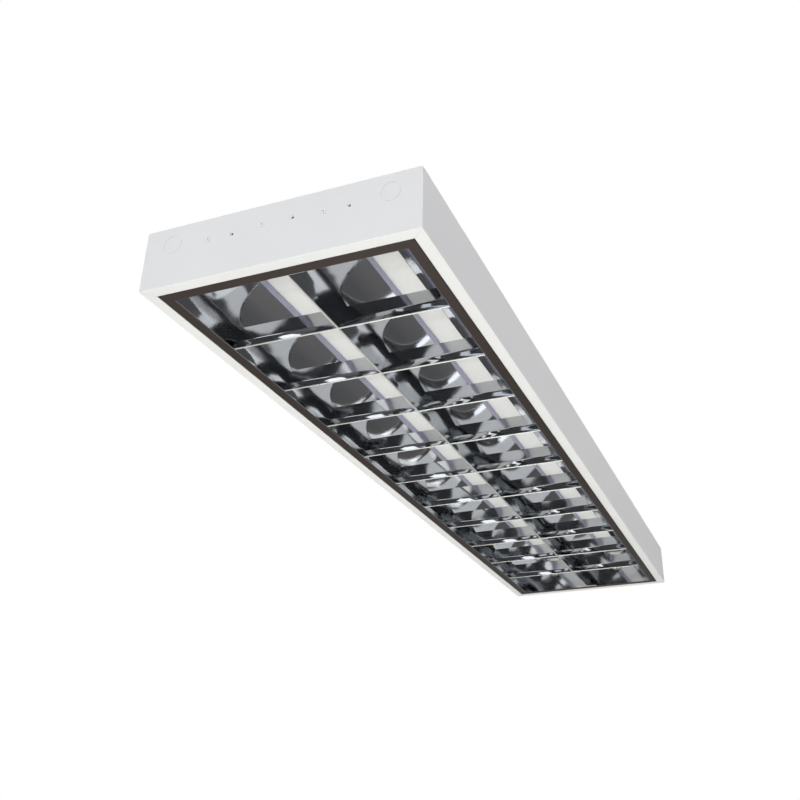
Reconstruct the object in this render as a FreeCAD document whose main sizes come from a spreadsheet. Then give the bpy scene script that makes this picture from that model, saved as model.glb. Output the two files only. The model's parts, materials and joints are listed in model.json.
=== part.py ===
"""Slim twin fluorescent luminaire with a mirror louvre.

Frame: X across the width, Y along the length with the near end at -Y, Z up. The origin is the
centre of the back, where four screws hold the luminaire to the ceiling. All sizes are in mm.
"""
import FreeCAD, Part
import math
import os
import Sketcher
from FreeCAD import Placement, Rotation, Vector

os.makedirs("parts", exist_ok=True)

doc = FreeCAD.newDocument("LouvreLuminaire")

# ---------------------------------------------------------------------------------------------
# Driving sizes
# ---------------------------------------------------------------------------------------------

# The housing
overall_length = 1250  # body length, end face to end face
overall_width = 300  # body width
overall_height = 70  # body height, back to rim
steel = 0.8  # thickness of the housing's steel sheet
bend = 1.4  # outer radius of the housing's folds
rim_width = 12.5  # width of the inward rim round the louvre
pan_gap = 0.1  # gap between the end pans' flanges and the channel
pan_flange = 18  # depth of the end pans' flanges
mitre_gap = 0.2  # gap in the rim's mitred corners
edge_round = 0.6  # rounding of the end pans' folded lower edge

# Knock-outs and fixings of the end plates
knockout_radius = 10.5  # radius of a conduit knock-out
knockout_inset = 32  # knock-out centre from the plate's side
knockout_drop = 21  # knock-out centre below the back
knockout_groove = 0.5  # width of the ring pressed round a knock-out
knockout_depth = 0.45  # depth of that ring
fixing_drop = 25.3  # lampholder bar's fixings below the back
centre_fixing_rise = 2.2  # how much higher the middle pair sits
holder_fixing_pitch = 26.6  # pitch of the pair at each lampholder
centre_fixing_pitch = 33  # pitch of the middle pair
rivet_radius = 1.2  # shank radius of a blind rivet
rivet_head_radius = 2.5  # head radius of a blind rivet
rivet_head = 0.7  # head height of a blind rivet
rivet_bore = 0.7  # radius of the rivet's open middle
rivet_tail_radius = 1.9  # radius of the rivet's set tail
rivet_tail = 2.0  # length of the rivet's set tail
plate_hole_radius = 2.1  # radius of the open holes beside the rivets
bar_hole_radius = 1.3  # radius of the bar's pilot holes behind them
press_gap = 0.05  # radial gap of fixed pins and rivets in their holes

# The back
ceiling_hole_radius = 3.25  # radius of a ceiling fixing hole
ceiling_hole_side_inset = 50  # ceiling holes from the long sides
ceiling_hole_end_inset = 75  # ceiling holes from the end faces
cable_hole_radius = 10  # radius of the cable hole in the back
cable_hole_run = 150  # cable hole from the control gear's near end
cable_bore_radius = 6.5  # bore radius of the grommet
grommet_flange_radius = 12.5  # flange radius of the grommet
grommet_flange = 1.5  # flange thickness of the grommet
grommet_depth = 7  # length of the grommet's collar
grommet_wall = 2  # wall of the grommet's collar
pan_screw_side_inset = 40  # outer end pan screws from the long sides
pan_screw_inset = 10  # end pan screws from the end face

# The gear tray and its screws
tray_sheet = 0.7  # thickness of the gear tray
tray_rise = 1.6  # tray's face below the back's inner face
tray_end_inset = 95  # tray's ends from the end faces
tray_side_gap = 5  # gap between the tray and the long sides
tray_screw_inset = 16.2  # tray screws from the tray's long edges
tray_screw_end_inset = 35  # outer tray screws from the tray's ends
screw_radius = 1.9  # shank radius of an M4 screw
screw_head_radius = 3.8  # head radius of an M4 pan screw
screw_head = 2.3  # head height of an M4 pan screw
screw_slot = 1.0  # width of the screw's slot

# The louvre
louvre_gap = 1.0  # gap between the rim's edge and the louvre
louvre_recess = 0.3  # louvre's face above the rim's face
flange_width = 11.5  # width of the louvre's outer flange
foil = 0.5  # thickness of the louvre's aluminium
cell_count = 11  # cells along each channel
spine_edge = 2.0  # width of the spine's round lower edge
slot_width = 35  # lamp slot between the reflectors' tops
mouth_fold = 0.8  # radius of the fold between a side mirror and its flange
mirror_height = 58.5  # top of the curved mirrors above the rim's face
mirror_radius = 75  # radius of the curved mirrors
lip_gap = 0.3  # gap between the mirrors' lips and the tray
blade_height = 25.2  # height of a cross blade
blade_edge = 2.0  # width of a blade's round lower edge
blade_top = 2.5  # width of a blade's flat top
blade_sheet = 0.45  # thickness of a blade's sheet
blade_radius = 520  # radius of a blade's hollow faces
blade_rise = 0.4  # blade's lower edge above the louvre's face
blade_gap = 0.15  # gap between a blade and the mirrors
web_height = 8  # blade's web through the spine, above its lower edge
spine_slot_width = 3  # width of a slot in the spine
tab_thickness = 1.2  # thickness of a blade's tabs
tab_low = 2.5  # a tab's underside above the blade's lower edge
tab_height = 4  # height of a blade's tabs
tab_reach = 3  # how far a tab passes through its slot
tab_gap = 0.3  # gap round a tab in its slot
end_margin = 3  # end sheet beyond the mirrors' mouth
lamp_notch_radius = 15  # radius of the end sheets' lamp notches

# Hinge and catches of the louvre
hinge_end_inset = 205  # hinges and catches from the end faces
axis_inset = 3.2  # hinge axis from the louvre's outer edge
axis_rise = 4.0  # hinge axis above the rim's face
pin_radius = 1.5  # hinge pin radius
running_gap = 0.05  # radial gap of a turning fit
knuckle_radius = 2.9  # outer radius of the hinge's ears and knuckles
knuckle_width = 15.4  # width of a knuckle
side_gap = 0.3  # gap between a knuckle and the ears
ear_sheet = 1.5  # thickness of the hinge brackets
bracket_drop = 50  # brackets' shelf below the back
bracket_plate = 12  # height of the plate on the long side
foot_length = 6.5  # foot on the louvre's flange
striker_inset = 4.0  # striker from the louvre's outer edge
striker_sheet = 1.0  # thickness of a striker
striker_height = 15.0  # height of a striker
jaw_gap = 0.3  # gap between a striker and the fixed jaw
jaw_length = 10  # length of the fixed jaw
leaf_gap = 0.5  # gap between a striker and the sprung leaf
leaf_sheet = 0.5  # thickness of a sprung leaf
leaf_length = 14  # length of a sprung leaf
leaf_foot = 3.0  # width of a leaf's turned lower end
leaf_seat_gap = 0.3  # gap between a leaf and its bracket
catch_width = 16  # width of strikers, jaws and leaves

# Lampholders
bar_sheet = 1.0  # thickness of a lampholder bar
bar_margin = 15  # lampholder bar beyond its holders
bar_depth = 22  # depth of the bar's shelf
bar_shelf_drop = 5  # top of the bar's shelf below the back
bar_drop = 36  # bar's lower edge below the back
lamp_drop = 28  # lamp axis below the back
holder_width = 20  # width of a lampholder
holder_front = 22.5  # lampholder's face from the end face
holder_chin = 3  # centre of the holder's round lower end below the lamp axis
rotor_radius = 8.0  # radius of a rotor
rotor_depth = 8.0  # thickness of a rotor
rotor_slot = 2.8  # width of the rotor's pin slot
pin_slot_depth = 7.0  # depth of the pin slot
pin_slot_top = 7.4  # pin slot above the lamp axis
hub_radius = 3.0  # radius of the rotor's hub
hub_length = 10  # length of the rotor's hub
entry_slot = 3.4  # width of the holder's entry slot
rotor_back_gap = 0.2  # gap behind a rotor
chamber_width = 14  # width of the contact chamber
chamber_top = 12  # contact chamber above the lamp axis
chamber_low = 9  # contact chamber below the lamp axis
chamber_depth = 8  # depth of the contact chamber
contact_sheet = 0.8  # thickness of a contact
contact_offset = 5.2  # contacts from the lamp axis
contact_width = 5  # width of a contact

# Control gear
ballast_length = 360  # length of the control gear's case
ballast_width = 30  # width of the control gear's case
ballast_height = 28  # height of the control gear's case
ballast_sheet = 0.8  # sheet of the control gear's case
ballast_tab = 12  # fixing tab at each end of the case
gear_screw_gap = 0.3  # gap between the gear's screws and the back
lid_overlap = 12  # height of the lid's sides
lid_gap = 0.1  # gap between the lid and the case
gear_terminal_depth = 9  # depth of the gear's terminals
gear_terminal_height = 12  # height of the gear's terminals
board_drop = 7  # circuit board below the case's base
board_sheet = 1.6  # thickness of the circuit board
board_gap = 2.5  # gap between the board and the case's sides
board_end_gap = 6  # gap between the board and the gear's terminals
post_radius = 1.5  # radius of the board's posts

# Mains terminal, earth and leads
terminal_run = 90  # mains terminal's middle from the control gear's near end
terminal_width = 22  # width of the mains terminal
terminal_depth = 18  # depth of the mains terminal
terminal_height = 14  # height of the mains terminal
pole_pitch = 6.5  # pitch of the terminal's poles
insert_radius = 2.4  # outer radius of a brass insert
insert_bore = 1.5  # bore radius of a brass insert
insert_length = 16  # length of a brass insert
clamp_screw_radius = 1.4  # radius of a terminal screw
clamp_screw_offset = 4.5  # terminal screws from the block's middle
earth_run = 27  # earth stud from the mains terminal's middle
earth_x = 6.5  # earth stud from the middle
stud_radius = 2.0  # radius of the earth stud
stud_length = 11  # length of the earth stud
nut_size = 7  # width of the earth nuts across flats
nut_height = 3.2  # height of an earth nut
lug_radius = 4  # outer radius of the earth lug
lug_sheet = 0.8  # thickness of the earth lug
lead_drop = 8.6  # centre line of the leads below the back
lead_radius = 1.6  # radius of a lamp lead
wire_radius = 1.2  # radius of a mains lead
lead_exit_x = 10.5  # lamp leads at the gear, from the middle
lead_run_x = 18  # lamp leads' run, from the middle
lead_straight = 16  # lead's straight stretch at the gear
lead_shift = 34  # length in which a lead moves out to its run
lead_end_inset = 13  # lead's last run from the end face
lead_bend = 14  # bend radius of the leads
clip_width = 8  # width of a wire clip
clip_depth = 6  # length of a wire clip
clip_wall = 1.2  # wall of a wire clip under the lead
clip_run = 60  # first wire clip from the control gear's end
clip_pitch = 115  # pitch of the wire clips

# ---------------------------------------------------------------------------------------------
# The sheet: every size above goes into it under its own name, and from here on that name
# stands for its cell, so every feature follows the sheet
# ---------------------------------------------------------------------------------------------

given = {name: value for name, value in globals().items() if type(value) in (int, float)}
sheet = doc.addObject("Spreadsheet::Sheet", "Sizes")


class Size:
    """A length worked out from the sheet: its value now, and its expression."""

    def __init__(self, value, text):
        self.value = float(value)
        self.text = text

    def __add__(self, other):
        other = as_size(other)
        return Size(self.value + other.value, f"({self.text} + {other.text})")

    def __sub__(self, other):
        other = as_size(other)
        return Size(self.value - other.value, f"({self.text} - {other.text})")

    def __mul__(self, other):
        other = as_size(other)
        return Size(self.value * other.value, f"({self.text} * {other.text})")

    def __truediv__(self, other):
        other = as_size(other)
        return Size(self.value / other.value, f"({self.text} / {other.text})")

    def __neg__(self):
        return Size(-self.value, f"(-1 * {self.text})")

    __radd__ = __add__
    __rmul__ = __mul__


def as_size(number):
    return number if isinstance(number, Size) else Size(number, f"({float(number)!r})")


def root(size):
    return Size(math.sqrt(max(size.value, 0.0)), f"sqrt({size.text})")


for row, (name, value) in enumerate(given.items(), 1):
    sheet.set(f"A{row}", name)
    sheet.set(f"B{row}", str(value))
    sheet.setAlias(f"B{row}", name)
    globals()[name] = Size(value, f"{sheet.Name}.{name}")
doc.recompute()

# ---------------------------------------------------------------------------------------------
# Places that several pieces share
# ---------------------------------------------------------------------------------------------

half_length = overall_length / 2
half_width = overall_width / 2
base_z = -overall_height
back_inner_z = -steel
tray_face_z = -(steel + tray_rise)
mouth_half = half_width - rim_width
louvre_half = mouth_half - louvre_gap
louvre_half_length = half_length - rim_width - louvre_gap
cells_half = louvre_half - flange_width
cells_half_length = louvre_half_length - flange_width
mirror_half_length = cells_half_length - foil
louvre_z = base_z + louvre_recess
flange_top_z = louvre_z + foil
arc_top_z = base_z + mirror_height
lip_top_z = tray_face_z - lip_gap
channel_x = (cells_half + spine_edge / 2) / 2
slot_half = slot_width / 2
blade_low_z = louvre_z + blade_rise
blade_top_z = blade_low_z + blade_height
web_top_z = blade_low_z + web_height
cell_pitch = mirror_half_length * 2 / cell_count
hinge_x = -(louvre_half - axis_inset)
hinge_z = base_z + axis_rise
shelf_z = -bracket_drop
lamp_z = -lamp_drop
lead_z = -lead_drop
holder_front_y = -half_length + holder_front
bar_back_y = -half_length + steel
ballast_low_z = tray_face_z - ballast_height
ballast_half = ballast_length / 2
tray_half_width = half_width - steel - tray_side_gap
tray_half_length = half_length - tray_end_inset
tray_screw_x = tray_half_width - tray_screw_inset
tray_screw_y = tray_half_length - tray_screw_end_inset
pan_screw_x = half_width - pan_screw_side_inset
station_y = half_length - hinge_end_inset
cable_hole_y = -(ballast_half + cable_hole_run)
terminal_y = -(ballast_half + terminal_run)
earth_y = terminal_y - earth_run
lug_top_z = tray_face_z - nut_height

PLANE_NORMAL = {"XY_Plane": 1, "XZ_Plane": -1, "YZ_Plane": 1}
HALF_TURN = Rotation(Vector(0, 0, 1), 180)
ROD_TURN = {"x": Rotation(Vector(0, 1, 0), 90),
            "y": Rotation(Vector(1, 0, 0), -90),
            "z": Rotation()}
nodes = []


# ---------------------------------------------------------------------------------------------
# Helpers for sketches and features
# ---------------------------------------------------------------------------------------------

def keep(item, label):
    """Name an object as a node that is written out."""
    item.Label = label
    nodes.append(item)
    return item


def new_body(label):
    return keep(doc.addObject("PartDesign::Body", "Body_" + label), label)


def bind(item, prop, size):
    item.setExpression(prop, size.text)


def new_sketch(body, plane, station=None):
    """A sketch on one of the body's origin planes, moved along its normal to a station."""
    sketch = body.newObject("Sketcher::SketchObject", "Sketch")
    support = [f for f in body.Origin.OriginFeatures if f.Role == plane][0]
    sketch.AttachmentSupport = [(support, "")]
    sketch.MapMode = "FlatFace"
    if station is not None:
        bind(sketch, "AttachmentOffset.Base.z", station * PLANE_NORMAL[plane])
    return sketch


def fix(sketch, kind, geometry, point, size):
    """Hold one coordinate of a point at its size."""
    index = sketch.addConstraint(Sketcher.Constraint(kind, -1, 1, geometry, point, size.value))
    bind(sketch, f"Constraints[{index}]", size)


def arc_between(start, end, radius, side):
    """Arc from start to end that bulges left (side 1) or right (side -1) of the way."""
    chord = end - start
    left = Vector(-chord.y, chord.x, 0).normalize()
    rise = math.sqrt(max(radius ** 2 - (chord.Length / 2) ** 2, 0.0))
    centre = start + chord * 0.5 - left * side * rise
    from_start = math.atan2(start.y - centre.y, start.x - centre.x)
    from_end = math.atan2(end.y - centre.y, end.x - centre.x)
    circle = Part.Circle(centre, Vector(0, 0, 1), radius)
    if side > 0:
        return Part.ArcOfCircle(circle, from_end, from_start)
    return Part.ArcOfCircle(circle, from_start, from_end)


def outline(sketch, corners, arcs=None):
    """Closed outline through the corners. arcs gives (radius, side) for the edges that curve."""
    arcs = arcs or {}
    corners = [(as_size(x), as_size(y)) for x, y in corners]
    first = sketch.GeometryCount
    ends = []
    for i, (a, b) in enumerate(zip(corners, corners[1:] + corners[:1])):
        start = Vector(a[0].value, a[1].value, 0)
        end = Vector(b[0].value, b[1].value, 0)
        if i in arcs:
            radius, side = arcs[i]
            sketch.addGeometry(arc_between(start, end, radius.value, side), False)
            ends.append((2, 1) if side > 0 else (1, 2))
        else:
            sketch.addGeometry(Part.LineSegment(start, end), False)
            ends.append((1, 2))
    for i in range(len(corners)):
        j = (i + 1) % len(corners)
        sketch.addConstraint(
            Sketcher.Constraint("Coincident", first + i, ends[i][1], first + j, ends[j][0]))
    for i, (x, y) in enumerate(corners):
        fix(sketch, "DistanceX", first + i, ends[i][0], x)
        fix(sketch, "DistanceY", first + i, ends[i][0], y)
    for i, (radius, _) in arcs.items():
        index = sketch.addConstraint(Sketcher.Constraint("Radius", first + i, radius.value))
        bind(sketch, f"Constraints[{index}]", radius)


def rectangle(sketch, x_low, x_high, y_low, y_high):
    outline(sketch, [(x_low, y_low), (x_high, y_low), (x_high, y_high), (x_low, y_high)])


def folded(sketch, corners, radii):
    """Outline with square corners, rounded where radii gives a radius for the corner's index."""
    corners = [(as_size(x), as_size(y)) for x, y in corners]
    points = []
    arcs = {}
    for i, (x, y) in enumerate(corners):
        if i not in radii:
            points.append((x, y))
            continue
        radius = radii[i]
        before = corners[i - 1]
        after = corners[(i + 1) % len(corners)]
        came = direction(before, (x, y))
        goes = direction((x, y), after)
        turn = came[0] * goes[1] - came[1] * goes[0]
        points.append((x - radius * came[0], y - radius * came[1]))
        arcs[len(points) - 1] = (radius, -1 if turn > 0 else 1)
        points.append((x + radius * goes[0], y + radius * goes[1]))
    outline(sketch, points, arcs)


def direction(a, b):
    """Unit direction of a level or upright edge."""
    across = b[0].value - a[0].value
    up = b[1].value - a[1].value
    if abs(across) > abs(up):
        return (math.copysign(1, across), 0)
    return (0, math.copysign(1, up))


def circle(sketch, x, y, radius):
    x, y = as_size(x), as_size(y)
    centre = Vector(x.value, y.value, 0)
    geometry = sketch.addGeometry(Part.Circle(centre, Vector(0, 0, 1), radius.value), False)
    fix(sketch, "DistanceX", geometry, 3, x)
    fix(sketch, "DistanceY", geometry, 3, y)
    index = sketch.addConstraint(Sketcher.Constraint("Radius", geometry, radius.value))
    bind(sketch, f"Constraints[{index}]", radius)


def plane_of(sketch):
    return PLANE_NORMAL[sketch.AttachmentSupport[0][0].Role]


def pad(body, sketch, length, way=0):
    """Pad along the plane's axis: way 1 or -1 along it, 0 to both sides alike."""
    feature = body.newObject("PartDesign::Pad", "Pad")
    feature.Profile = sketch
    bind(feature, "Length", as_size(length))
    if way == 0:
        feature.SideType = "Symmetric"
    else:
        feature.Reversed = way != plane_of(sketch)
    return feature


def pocket(body, sketch, length, way=0):
    """Pocket along the plane's axis: way 1 or -1 along it, 0 to both sides alike."""
    feature = body.newObject("PartDesign::Pocket", "Pocket")
    feature.Profile = sketch
    bind(feature, "Length", as_size(length))
    if way == 0:
        feature.SideType = "Symmetric"
    else:
        feature.Reversed = way == plane_of(sketch)
    return feature


def repeat(body, feature, pitch, count):
    """Repeat a feature along Y."""
    pattern = body.newObject("PartDesign::LinearPattern", "Pattern")
    pattern.Originals = [feature]
    axis = [f for f in body.Origin.OriginFeatures if f.Role == "Y_Axis"][0]
    pattern.Direction = (axis, [""])
    bind(pattern, "Length", pitch * (count - 1))
    bind(pattern, "Occurrences", count)
    body.Tip = pattern
    return pattern


# ---------------------------------------------------------------------------------------------
# Helpers for primitives
# ---------------------------------------------------------------------------------------------

def place(item, x, y, z):
    bind(item, "Placement.Base.x", as_size(x))
    bind(item, "Placement.Base.y", as_size(y))
    bind(item, "Placement.Base.z", as_size(z))
    return item


def block(x_low, x_high, y_low, y_high, z_low, z_high):
    """A box between two corners."""
    x_low, x_high, y_low, y_high, z_low, z_high = (
        as_size(s) for s in (x_low, x_high, y_low, y_high, z_low, z_high))
    item = doc.addObject("Part::Box", "Block")
    bind(item, "Length", x_high - x_low)
    bind(item, "Width", y_high - y_low)
    bind(item, "Height", z_high - z_low)
    return place(item, x_low, y_low, z_low)


def rod(x, y, z, radius, length, axis="z"):
    """A cylinder that starts at a point and runs along X, Y or Z."""
    item = doc.addObject("Part::Cylinder", "Rod")
    item.Placement = Placement(Vector(), ROD_TURN[axis])
    bind(item, "Radius", as_size(radius))
    bind(item, "Height", as_size(length))
    return place(item, x, y, z)


def fuse(parts):
    item = doc.addObject("Part::MultiFuse", "Fuse")
    item.Shapes = parts
    return item


def cut(base, tool):
    item = doc.addObject("Part::Cut", "Cut")
    item.Base = base
    item.Tool = tool
    return item


def group(label, parts):
    """Separate like solids that share one node."""
    item = doc.addObject("Part::Compound", "Group_" + label)
    item.Links = parts
    return keep(item, label)


def pan_screw(x, y, seat_z, length):
    """A slotted pan screw driven upwards, with its head under seat_z."""
    low_z = seat_z - screw_head
    head = rod(x, y, low_z, screw_head_radius, screw_head)
    shank = rod(x, y, low_z, screw_radius, screw_head + length)
    reach = screw_head_radius + 1
    slot = block(x - reach, x + reach, y - screw_slot / 2, y + screw_slot / 2,
                 low_z - 1, low_z + screw_head / 2)
    return cut(fuse([head, shank]), slot)


# ---------------------------------------------------------------------------------------------
# The housing
# ---------------------------------------------------------------------------------------------

def housing_channel():
    """Back, two long sides and two rims, folded from one sheet."""
    body = new_body("housing_channel")
    profile = new_sketch(body, "XZ_Plane")
    inner = half_width - steel
    edge = half_width - rim_width
    low = base_z + steel
    folded(profile, [
        (-half_width, base_z), (-half_width, as_size(0)), (half_width, as_size(0)),
        (half_width, base_z), (edge, base_z), (edge, low), (inner, low),
        (inner, back_inner_z), (-inner, back_inner_z), (-inner, low), (-edge, low),
        (-edge, base_z)],
        {0: bend, 1: bend, 2: bend, 3: bend,
         6: bend - steel, 7: bend - steel, 8: bend - steel, 9: bend - steel})
    pad(body, profile, (half_length - steel) * 2)

    corners = new_sketch(body, "XY_Plane", base_z)
    ends_y = half_length + 1
    for side in (-1, 1):
        for end in (-1, 1):
            outline(corners, [
                (inner * side, ends_y * end),
                (edge * side, ends_y * end),
                (edge * side, (half_length - rim_width - mitre_gap) * end),
                (inner * side, (half_length - steel - mitre_gap) * end)])
    pocket(body, corners, steel, 1)

    holes = new_sketch(body, "XY_Plane")
    for side in (-1, 1):
        for end in (-1, 1):
            circle(holes, (half_width - ceiling_hole_side_inset) * side,
                   (half_length - ceiling_hole_end_inset) * end, ceiling_hole_radius)
    circle(holes, as_size(0), cable_hole_y, cable_hole_radius)
    for x, y in tray_screw_places():
        circle(holes, x, y, screw_radius + press_gap)
    for x, y in pan_screw_places():
        circle(holes, x, y, screw_radius + press_gap)
    pocket(body, holes, steel * 2, -1)


def tray_screw_places():
    return [(tray_screw_x * side, tray_screw_y * step)
            for side in (-1, 1) for step in (-1, 0, 1)]


def pan_screw_places():
    return [(pan_screw_x * step, (half_length - pan_screw_inset) * end)
            for step in (-1, 0, 1) for end in (-1, 1)]


def bar_fixings():
    """Fixings of the near lampholder bar, from the left: a rivet, then an open hole, and so on."""
    rows = [(-channel_x, holder_fixing_pitch, -fixing_drop),
            (as_size(0), centre_fixing_pitch, centre_fixing_rise - fixing_drop),
            (channel_x, holder_fixing_pitch, -fixing_drop)]
    rivets = [(x - pitch / 2, z) for x, pitch, z in rows]
    holes = [(x + pitch / 2, z) for x, pitch, z in rows]
    return rivets, holes


def lower_front_edges(shape):
    """The straight edges of an end pan where its face folds into its rim."""
    found = []
    for i, edge in enumerate(shape.Edges):
        box = edge.BoundBox
        low = abs(box.ZMin - base_z.value) < 1e-4 and abs(box.ZMax - base_z.value) < 1e-4
        front = abs(box.YMin + half_length.value) < 1e-4 and abs(box.YMax + half_length.value) < 1e-4
        if low and front:
            found.append(f"Edge{i + 1}")
    return found


def end_plate(label, turned):
    """An end pan: face, three flanges inside the channel, and a mitred rim."""
    body = new_body(label)
    face = new_sketch(body, "XZ_Plane", -half_length)
    folded(face, [(-half_width, base_z), (half_width, base_z), (half_width, as_size(0)),
                  (-half_width, as_size(0))], {0: bend, 1: bend, 2: bend, 3: bend})
    pad(body, face, steel, 1)

    flanges = new_sketch(body, "XZ_Plane", -half_length)
    outer = half_width - steel - pan_gap
    inner = outer - steel
    top = back_inner_z - pan_gap
    low = base_z + steel * 3
    round_out = bend - steel
    folded(flanges, [(-outer, low), (-outer, top), (outer, top), (outer, low), (inner, low),
                     (inner, top - steel), (-inner, top - steel), (-inner, low)],
           {1: round_out, 2: round_out})
    pad(body, flanges, pan_flange, 1)

    rim = new_sketch(body, "XY_Plane", base_z)
    start = half_width - bend
    outline(rim, [(-start, -half_length), (start, -half_length),
                  (start, bend - half_length), (mouth_half, rim_width - half_length),
                  (-mouth_half, rim_width - half_length), (-start, bend - half_length)])
    pad(body, rim, steel, 1)

    rings = new_sketch(body, "XZ_Plane", -half_length)
    for side in (-1, 1):
        x = (half_width - knockout_inset) * side
        circle(rings, x, -knockout_drop, knockout_radius)
        circle(rings, x, -knockout_drop, knockout_radius - knockout_groove)
    pocket(body, rings, knockout_depth, 1)

    holes = new_sketch(body, "XZ_Plane", -half_length)
    rivets, open_holes = bar_fixings()
    for x, z in rivets:
        circle(holes, x, z, rivet_radius + press_gap)
    for x, z in open_holes:
        circle(holes, x, z, plate_hole_radius)
    pocket(body, holes, steel * 2, 1)

    screws = new_sketch(body, "XY_Plane", top)
    for step in (-1, 0, 1):
        circle(screws, pan_screw_x * step, pan_screw_inset - half_length, screw_radius + press_gap)
    last = pocket(body, screws, steel * 2, -1)
    doc.recompute()

    rounding = body.newObject("PartDesign::Fillet", "Rounding")
    rounding.Base = (last, lower_front_edges(last.Shape))
    bind(rounding, "Radius", edge_round)
    if turned:
        body.Placement = Placement(Vector(), HALF_TURN)


def gear_tray():
    """White tray behind the lamp slots, with its long edges turned up against the back."""
    body = new_body("gear_tray")
    profile = new_sketch(body, "XZ_Plane")
    outer = tray_half_width
    inner = outer - tray_sheet
    face = tray_face_z
    folded(profile, [(-outer, back_inner_z), (-outer, face), (outer, face), (outer, back_inner_z),
                     (inner, back_inner_z), (inner, face + tray_sheet),
                     (-inner, face + tray_sheet), (-inner, back_inner_z)],
           {1: bend, 2: bend, 5: bend - tray_sheet, 6: bend - tray_sheet})
    pad(body, profile, tray_half_length * 2)

    holes = new_sketch(body, "XY_Plane", face)
    circle(holes, as_size(0), cable_hole_y, grommet_flange_radius + 1)
    for x, y in tray_screw_places() + ballast_screw_places():
        circle(holes, x, y, screw_radius + press_gap)
    pocket(body, holes, tray_sheet * 2, 1)


def ballast_screw_places():
    return [(as_size(0), (ballast_half + ballast_tab / 2) * end) for end in (-1, 1)]


def housing_screws():
    """Screws of the end pans and of the tray, driven up into the back."""
    flange_low_z = back_inner_z - pan_gap - steel
    reach = flange_low_z + steel / 4
    group("end_plate_screws",
          [pan_screw(x, y, flange_low_z, -reach) for x, y in pan_screw_places()])
    group("tray_screws",
          [pan_screw(x, y, tray_face_z, -(tray_face_z + steel / 4))
           for x, y in tray_screw_places()])


def cable_grommet():
    """Flanged bush in the cable hole, flush with the back."""
    neck = rod(0, cable_hole_y, back_inner_z, cable_hole_radius - press_gap, steel)
    flange = rod(0, cable_hole_y, back_inner_z - grommet_flange, grommet_flange_radius,
                 grommet_flange)
    collar = rod(0, cable_hole_y, -grommet_depth, cable_bore_radius + grommet_wall,
                 grommet_depth - steel)
    bore = rod(0, cable_hole_y, -(grommet_depth + 1), cable_bore_radius, grommet_depth + 2)
    keep(cut(fuse([neck, flange, collar]), bore), "cable_grommet")


# ---------------------------------------------------------------------------------------------
# Lampholders on their bars
# ---------------------------------------------------------------------------------------------

def lampholder_bar(label, turned):
    """Angle bar behind an end plate, with its rivet holes and pilot holes."""
    body = new_body(label)
    profile = new_sketch(body, "YZ_Plane")
    front = bar_back_y + bar_sheet
    top = -bar_shelf_drop
    under = top - bar_sheet
    folded(profile, [(bar_back_y, -bar_drop), (front, -bar_drop), (front, under),
                     (bar_back_y + bar_depth, under), (bar_back_y + bar_depth, top),
                     (bar_back_y, top)], {5: bar_sheet})
    pad(body, profile, (channel_x + holder_width / 2 + bar_margin) * 2)

    rivets, open_holes = bar_fixings()
    holes = new_sketch(body, "XZ_Plane", bar_back_y)
    for x, z in rivets:
        circle(holes, x, z, rivet_radius + press_gap)
    for x, z in open_holes:
        circle(holes, x, z, bar_hole_radius)
    pocket(body, holes, bar_sheet * 2, 1)
    if turned:
        body.Placement = Placement(Vector(), HALF_TURN)


def blind_rivet(x, z, end):
    """A set blind rivet through an end plate and its bar; end -1 is the near one."""
    face_y = half_length * end
    grip = steel + bar_sheet
    head_y = face_y if end > 0 else face_y - rivet_head
    tail_y = face_y - grip - rivet_tail if end > 0 else face_y + grip
    shank_y = tail_y if end > 0 else head_y
    length = rivet_head + grip + rivet_tail
    x = x if end < 0 else -x
    head = rod(x, head_y, z, rivet_head_radius, rivet_head, "y")
    shank = rod(x, shank_y, z, rivet_radius, length, "y")
    tail = rod(x, tail_y, z, rivet_tail_radius, rivet_tail, "y")
    bore = rod(x, shank_y - 1, z, rivet_bore, length + 2, "y")
    return cut(fuse([head, shank, tail]), bore)


def bar_rivets():
    rivets = bar_fixings()[0]
    group("bar_rivets", [blind_rivet(x, z, end) for end in (-1, 1) for x, z in rivets])


def lampholder_body(label, side, turned):
    """Holder with a round chin, a bore for its rotor and a chamber for the contacts."""
    body = new_body(label)
    x = channel_x * side
    wide = holder_width / 2
    chin_z = lamp_z - holder_chin
    top = -(bar_shelf_drop + bar_sheet)
    shape = new_sketch(body, "XZ_Plane", bar_back_y + bar_sheet)
    outline(shape, [(x - wide, chin_z), (x, chin_z - wide), (x + wide, chin_z), (x + wide, top),
                    (x - wide, top)], {0: (wide, -1), 1: (wide, -1)})
    pad(body, shape, holder_front - steel - bar_sheet, 1)

    bore_depth = rotor_depth + rotor_back_gap
    bore = new_sketch(body, "XZ_Plane", holder_front_y)
    circle(bore, x, lamp_z, rotor_radius + running_gap)
    pocket(body, bore, bore_depth, -1)
    hub = new_sketch(body, "XZ_Plane", holder_front_y)
    circle(hub, x, lamp_z, hub_radius + running_gap)
    pocket(body, hub, rotor_depth + hub_length + rotor_back_gap, -1)
    chamber = new_sketch(body, "XZ_Plane", holder_front_y - bore_depth)
    rectangle(chamber, x - chamber_width / 2, x + chamber_width / 2, lamp_z - chamber_low,
              lamp_z + chamber_top)
    pocket(body, chamber, chamber_depth, -1)
    entry = new_sketch(body, "XZ_Plane", holder_front_y)
    rectangle(entry, x - entry_slot / 2, x + entry_slot / 2, chin_z - wide - 1, lamp_z)
    pocket(body, entry, rotor_depth, -1)
    if turned:
        body.Placement = Placement(Vector(), HALF_TURN)


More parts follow.
